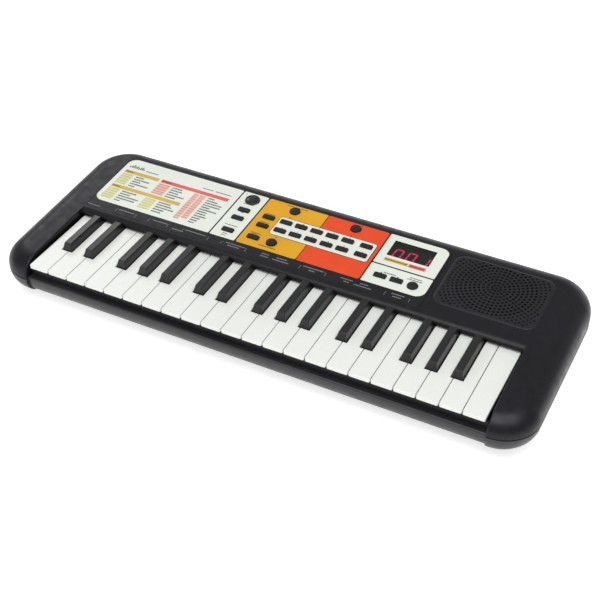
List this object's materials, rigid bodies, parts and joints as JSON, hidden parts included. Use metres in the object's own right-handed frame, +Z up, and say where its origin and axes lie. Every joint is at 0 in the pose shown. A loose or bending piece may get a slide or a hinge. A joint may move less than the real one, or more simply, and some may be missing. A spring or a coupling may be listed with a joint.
{
  "type": "toy electronic keyboard",
  "caption": "Toy electronic keyboard: mini white and black keys in a rounded dark two-shell case with a sloping printed control panel, silicone buttons, digit display and speaker grille.",
  "frame": {"origin": "on the table under the middle of the case, at the feet's lowest level", "axes": "+X along the keys towards the high notes, +Y away from the player, +Z up"},
  "size_m": [0.506, 0.201, 0.054],
  "materials": {
    "case_black": "satin moulded",
    "key_white": "polished",
    "key_black": "semi-gloss",
    "panel_print": "printed satin",
    "button_rubber": "matte silicone",
    "lens_dark": "clear gloss, smoked",
    "board_green": "solder mask",
    "speaker_steel": "pressed, plated",
    "cone_paper": "matte",
    "foot_rubber": "matte"
  },
  "bodies": {
    "case": {"upper_case": "case_black", "lower_case": "case_black", "panel_plate": "panel_print", "display_lens": "lens_dark", "main_board": "board_green", "jack_board": "board_green", "key_contact_board": "board_green", "speaker_basket": "speaker_steel", "speaker_cone": "cone_paper", "foot_front_left": "foot_rubber", "foot_front_right": "foot_rubber", "foot_rear_left": "foot_rubber", "foot_rear_right": "foot_rubber"},
    "battery_door": {"battery_door": "case_black"},
    "white_key_01": {"white_key_01": "key_white"},
    "white_key_02": {"white_key_02": "key_white"},
    "white_key_03": {"white_key_03": "key_white"},
    "white_key_04": {"white_key_04": "key_white"},
    "white_key_05": {"white_key_05": "key_white"},
    "white_key_06": {"white_key_06": "key_white"},
    "white_key_07": {"white_key_07": "key_white"},
    "white_key_08": {"white_key_08": "key_white"},
    "white_key_09": {"white_key_09": "key_white"},
    "white_key_10": {"white_key_10": "key_white"},
    "white_key_11": {"white_key_11": "key_white"},
    "white_key_12": {"white_key_12": "key_white"},
    "white_key_13": {"white_key_13": "key_white"},
    "white_key_14": {"white_key_14": "key_white"},
    "white_key_15": {"white_key_15": "key_white"},
    "white_key_16": {"white_key_16": "key_white"},
    "white_key_17": {"white_key_17": "key_white"},
    "white_key_18": {"white_key_18": "key_white"},
    "white_key_19": {"white_key_19": "key_white"},
    "white_key_20": {"white_key_20": "key_white"},
    "white_key_21": {"white_key_21": "key_white"},
    "white_key_22": {"white_key_22": "key_white"},
    "black_key_01": {"black_key_01": "key_black"},
    "black_key_02": {"black_key_02": "key_black"},
    "black_key_03": {"black_key_03": "key_black"},
    "black_key_04": {"black_key_04": "key_black"},
    "black_key_05": {"black_key_05": "key_black"},
    "black_key_06": {"black_key_06": "key_black"},
    "black_key_07": {"black_key_07": "key_black"},
    "black_key_08": {"black_key_08": "key_black"},
    "black_key_09": {"black_key_09": "key_black"},
    "black_key_10": {"black_key_10": "key_black"},
    "black_key_11": {"black_key_11": "key_black"},
    "black_key_12": {"black_key_12": "key_black"},
    "black_key_13": {"black_key_13": "key_black"},
    "black_key_14": {"black_key_14": "key_black"},
    "black_key_15": {"black_key_15": "key_black"},
    "power_button": {"power_button": "button_rubber"},
    "round_button_rear_left": {"round_button_rear_left": "button_rubber"},
    "round_button_front_left": {"round_button_front_left": "button_rubber"},
    "round_button_rear_right": {"round_button_rear_right": "button_rubber"},
    "round_button_front_right": {"round_button_front_right": "button_rubber"},
    "button_pad_left": {"button_pad_left": "button_rubber"},
    "button_pad_amber": {"button_pad_amber": "button_rubber"},
    "button_pad_numbers": {"button_pad_numbers": "button_rubber"},
    "button_pad_octave": {"button_pad_octave": "button_rubber"}
  },
  "joints": [
    {"name": "battery_door_hinge", "type": "hinge", "parent": "case", "child": "battery_door", "pos_m": [0, 0.02, 0.005], "axis": [-1, 0, 0], "range_deg": [0, 95]},
    {"name": "white_key_01_hinge", "type": "hinge", "parent": "case", "child": "white_key_01", "pos_m": [-0.2058, 0.004, 0.0378], "axis": [1, 0, 0], "range_deg": [0, 2], "stiffness_Nm_per_rad": 0.4, "springref_deg": -8.59},
    {"name": "white_key_02_hinge", "type": "hinge", "parent": "case", "child": "white_key_02", "pos_m": [-0.1862, 0.004, 0.0378], "axis": [1, 0, 0], "range_deg": [0, 2], "stiffness_Nm_per_rad": 0.4, "springref_deg": -8.59},
    {"name": "white_key_03_hinge", "type": "hinge", "parent": "case", "child": "white_key_03", "pos_m": [-0.1666, 0.004, 0.0378], "axis": [1, 0, 0], "range_deg": [0, 2], "stiffness_Nm_per_rad": 0.4, "springref_deg": -8.59},
    {"name": "white_key_04_hinge", "type": "hinge", "parent": "case", "child": "white_key_04", "pos_m": [-0.147, 0.004, 0.0378], "axis": [1, 0, 0], "range_deg": [0, 2], "stiffness_Nm_per_rad": 0.4, "springref_deg": -8.59},
    {"name": "white_key_05_hinge", "type": "hinge", "parent": "case", "child": "white_key_05", "pos_m": [-0.1274, 0.004, 0.0378], "axis": [1, 0, 0], "range_deg": [0, 2], "stiffness_Nm_per_rad": 0.4, "springref_deg": -8.59},
    {"name": "white_key_06_hinge", "type": "hinge", "parent": "case", "child": "white_key_06", "pos_m": [-0.1078, 0.004, 0.0378], "axis": [1, 0, 0], "range_deg": [0, 2], "stiffness_Nm_per_rad": 0.4, "springref_deg": -8.59},
    {"name": "white_key_07_hinge", "type": "hinge", "parent": "case", "child": "white_key_07", "pos_m": [-0.0882, 0.004, 0.0378], "axis": [1, 0, 0], "range_deg": [0, 2], "stiffness_Nm_per_rad": 0.4, "springref_deg": -8.59},
    {"name": "white_key_08_hinge", "type": "hinge", "parent": "case", "child": "white_key_08", "pos_m": [-0.0686, 0.004, 0.0378], "axis": [1, 0, 0], "range_deg": [0, 2], "stiffness_Nm_per_rad": 0.4, "springref_deg": -8.59},
    {"name": "white_key_09_hinge", "type": "hinge", "parent": "case", "child": "white_key_09", "pos_m": [-0.049, 0.004, 0.0378], "axis": [1, 0, 0], "range_deg": [0, 2], "stiffness_Nm_per_rad": 0.4, "springref_deg": -8.59},
    {"name": "white_key_10_hinge", "type": "hinge", "parent": "case", "child": "white_key_10", "pos_m": [-0.0294, 0.004, 0.0378], "axis": [1, 0, 0], "range_deg": [0, 2], "stiffness_Nm_per_rad": 0.4, "springref_deg": -8.59},
    {"name": "white_key_11_hinge", "type": "hinge", "parent": "case", "child": "white_key_11", "pos_m": [-0.0098, 0.004, 0.0378], "axis": [1, 0, 0], "range_deg": [0, 2], "stiffness_Nm_per_rad": 0.4, "springref_deg": -8.59},
    {"name": "white_key_12_hinge", "type": "hinge", "parent": "case", "child": "white_key_12", "pos_m": [0.0098, 0.004, 0.0378], "axis": [1, 0, 0], "range_deg": [0, 2], "stiffness_Nm_per_rad": 0.4, "springref_deg": -8.59},
    {"name": "white_key_13_hinge", "type": "hinge", "parent": "case", "child": "white_key_13", "pos_m": [0.0294, 0.004, 0.0378], "axis": [1, 0, 0], "range_deg": [0, 2], "stiffness_Nm_per_rad": 0.4, "springref_deg": -8.59},
    {"name": "white_key_14_hinge", "type": "hinge", "parent": "case", "child": "white_key_14", "pos_m": [0.049, 0.004, 0.0378], "axis": [1, 0, 0], "range_deg": [0, 2], "stiffness_Nm_per_rad": 0.4, "springref_deg": -8.59},
    {"name": "white_key_15_hinge", "type": "hinge", "parent": "case", "child": "white_key_15", "pos_m": [0.0686, 0.004, 0.0378], "axis": [1, 0, 0], "range_deg": [0, 2], "stiffness_Nm_per_rad": 0.4, "springref_deg": -8.59},
    {"name": "white_key_16_hinge", "type": "hinge", "parent": "case", "child": "white_key_16", "pos_m": [0.0882, 0.004, 0.0378], "axis": [1, 0, 0], "range_deg": [0, 2], "stiffness_Nm_per_rad": 0.4, "springref_deg": -8.59},
    {"name": "white_key_17_hinge", "type": "hinge", "parent": "case", "child": "white_key_17", "pos_m": [0.1078, 0.004, 0.0378], "axis": [1, 0, 0], "range_deg": [0, 2], "stiffness_Nm_per_rad": 0.4, "springref_deg": -8.59},
    {"name": "white_key_18_hinge", "type": "hinge", "parent": "case", "child": "white_key_18", "pos_m": [0.1274, 0.004, 0.0378], "axis": [1, 0, 0], "range_deg": [0, 2], "stiffness_Nm_per_rad": 0.4, "springref_deg": -8.59},
    {"name": "white_key_19_hinge", "type": "hinge", "parent": "case", "child": "white_key_19", "pos_m": [0.147, 0.004, 0.0378], "axis": [1, 0, 0], "range_deg": [0, 2], "stiffness_Nm_per_rad": 0.4, "springref_deg": -8.59},
    {"name": "white_key_20_hinge", "type": "hinge", "parent": "case", "child": "white_key_20", "pos_m": [0.1666, 0.004, 0.0378], "axis": [1, 0, 0], "range_deg": [0, 2], "stiffness_Nm_per_rad": 0.4, "springref_deg": -8.59},
    {"name": "white_key_21_hinge", "type": "hinge", "parent": "case", "child": "white_key_21", "pos_m": [0.1862, 0.004, 0.0378], "axis": [1, 0, 0], "range_deg": [0, 2], "stiffness_Nm_per_rad": 0.4, "springref_deg": -8.59},
    {"name": "white_key_22_hinge", "type": "hinge", "parent": "case", "child": "white_key_22", "pos_m": [0.2058, 0.004, 0.0378], "axis": [1, 0, 0], "range_deg": [0, 2], "stiffness_Nm_per_rad": 0.4, "springref_deg": -8.59},
    {"name": "black_key_01_hinge", "type": "hinge", "parent": "case", "child": "black_key_01", "pos_m": [-0.1978, 0.004, 0.0378], "axis": [1, 0, 0], "range_deg": [0, 2.5], "stiffness_Nm_per_rad": 0.4, "springref_deg": -8.59},
    {"name": "black_key_02_hinge", "type": "hinge", "parent": "case", "child": "black_key_02", "pos_m": [-0.175, 0.004, 0.0378], "axis": [1, 0, 0], "range_deg": [0, 2.5], "stiffness_Nm_per_rad": 0.4, "springref_deg": -8.59},
    {"name": "black_key_03_hinge", "type": "hinge", "parent": "case", "child": "black_key_03", "pos_m": [-0.14, 0.004, 0.0378], "axis": [1, 0, 0], "range_deg": [0, 2.5], "stiffness_Nm_per_rad": 0.4, "springref_deg": -8.59},
    {"name": "black_key_04_hinge", "type": "hinge", "parent": "case", "child": "black_key_04", "pos_m": [-0.1176, 0.004, 0.0378], "axis": [1, 0, 0], "range_deg": [0, 2.5], "stiffness_Nm_per_rad": 0.4, "springref_deg": -8.59},
    {"name": "black_key_05_hinge", "type": "hinge", "parent": "case", "child": "black_key_05", "pos_m": [-0.0951, 0.004, 0.0378], "axis": [1, 0, 0], "range_deg": [0, 2.5], "stiffness_Nm_per_rad": 0.4, "springref_deg": -8.59},
    {"name": "black_key_06_hinge", "type": "hinge", "parent": "case", "child": "black_key_06", "pos_m": [-0.0606, 0.004, 0.0378], "axis": [1, 0, 0], "range_deg": [0, 2.5], "stiffness_Nm_per_rad": 0.4, "springref_deg": -8.59},
    {"name": "black_key_07_hinge", "type": "hinge", "parent": "case", "child": "black_key_07", "pos_m": [-0.0378, 0.004, 0.0378], "axis": [1, 0, 0], "range_deg": [0, 2.5], "stiffness_Nm_per_rad": 0.4, "springref_deg": -8.59},
    {"name": "black_key_08_hinge", "type": "hinge", "parent": "case", "child": "black_key_08", "pos_m": [-0.0028, 0.004, 0.0378], "axis": [1, 0, 0], "range_deg": [0, 2.5], "stiffness_Nm_per_rad": 0.4, "springref_deg": -8.59},
    {"name": "black_key_09_hinge", "type": "hinge", "parent": "case", "child": "black_key_09", "pos_m": [0.0196, 0.004, 0.0378], "axis": [1, 0, 0], "range_deg": [0, 2.5], "stiffness_Nm_per_rad": 0.4, "springref_deg": -8.59},
    {"name": "black_key_10_hinge", "type": "hinge", "parent": "case", "child": "black_key_10", "pos_m": [0.0421, 0.004, 0.0378], "axis": [1, 0, 0], "range_deg": [0, 2.5], "stiffness_Nm_per_rad": 0.4, "springref_deg": -8.59},
    {"name": "black_key_11_hinge", "type": "hinge", "parent": "case", "child": "black_key_11", "pos_m": [0.0766, 0.004, 0.0378], "axis": [1, 0, 0], "range_deg": [0, 2.5], "stiffness_Nm_per_rad": 0.4, "springref_deg": -8.59},
    {"name": "black_key_12_hinge", "type": "hinge", "parent": "case", "child": "black_key_12", "pos_m": [0.0994, 0.004, 0.0378], "axis": [1, 0, 0], "range_deg": [0, 2.5], "stiffness_Nm_per_rad": 0.4, "springref_deg": -8.59},
    {"name": "black_key_13_hinge", "type": "hinge", "parent": "case", "child": "black_key_13", "pos_m": [0.1344, 0.004, 0.0378], "axis": [1, 0, 0], "range_deg": [0, 2.5], "stiffness_Nm_per_rad": 0.4, "springref_deg": -8.59},
    {"name": "black_key_14_hinge", "type": "hinge", "parent": "case", "child": "black_key_14", "pos_m": [0.1568, 0.004, 0.0378], "axis": [1, 0, 0], "range_deg": [0, 2.5], "stiffness_Nm_per_rad": 0.4, "springref_deg": -8.59},
    {"name": "black_key_15_hinge", "type": "hinge", "parent": "case", "child": "black_key_15", "pos_m": [0.1793, 0.004, 0.0378], "axis": [1, 0, 0], "range_deg": [0, 2.5], "stiffness_Nm_per_rad": 0.4, "springref_deg": -8.59},
    {"name": "power_button_press", "type": "slide", "parent": "case", "child": "power_button", "axis": [0, 0.0549, -0.9985], "range_m": [0, 0.001], "stiffness_N_per_m": 400, "springref_m": -0.002},
    {"name": "round_button_rear_left_press", "type": "slide", "parent": "case", "child": "round_button_rear_left", "axis": [0, 0.0549, -0.9985], "range_m": [0, 0.001], "stiffness_N_per_m": 400, "springref_m": -0.002},
    {"name": "round_button_front_left_press", "type": "slide", "parent": "case", "child": "round_button_front_left", "axis": [0, 0.0549, -0.9985], "range_m": [0, 0.001], "stiffness_N_per_m": 400, "springref_m": -0.002},
    {"name": "round_button_rear_right_press", "type": "slide", "parent": "case", "child": "round_button_rear_right", "axis": [0, 0.0549, -0.9985], "range_m": [0, 0.001], "stiffness_N_per_m": 400, "springref_m": -0.002},
    {"name": "round_button_front_right_press", "type": "slide", "parent": "case", "child": "round_button_front_right", "axis": [0, 0.0549, -0.9985], "range_m": [0, 0.001], "stiffness_N_per_m": 400, "springref_m": -0.002},
    {"name": "button_pad_left_press", "type": "slide", "parent": "case", "child": "button_pad_left", "axis": [0, 0.0549, -0.9985], "range_m": [0, 0.001], "stiffness_N_per_m": 400, "springref_m": -0.002},
    {"name": "button_pad_amber_press", "type": "slide", "parent": "case", "child": "button_pad_amber", "axis": [0, 0.0549, -0.9985], "range_m": [0, 0.001], "stiffness_N_per_m": 400, "springref_m": -0.002},
    {"name": "button_pad_numbers_press", "type": "slide", "parent": "case", "child": "button_pad_numbers", "axis": [0, 0.0549, -0.9985], "range_m": [0, 0.001], "stiffness_N_per_m": 400, "springref_m": -0.002},
    {"name": "button_pad_octave_press", "type": "slide", "parent": "case", "child": "button_pad_octave", "axis": [0, 0.0549, -0.9985], "range_m": [0, 0.001], "stiffness_N_per_m": 400, "springref_m": -0.002}
  ]
}
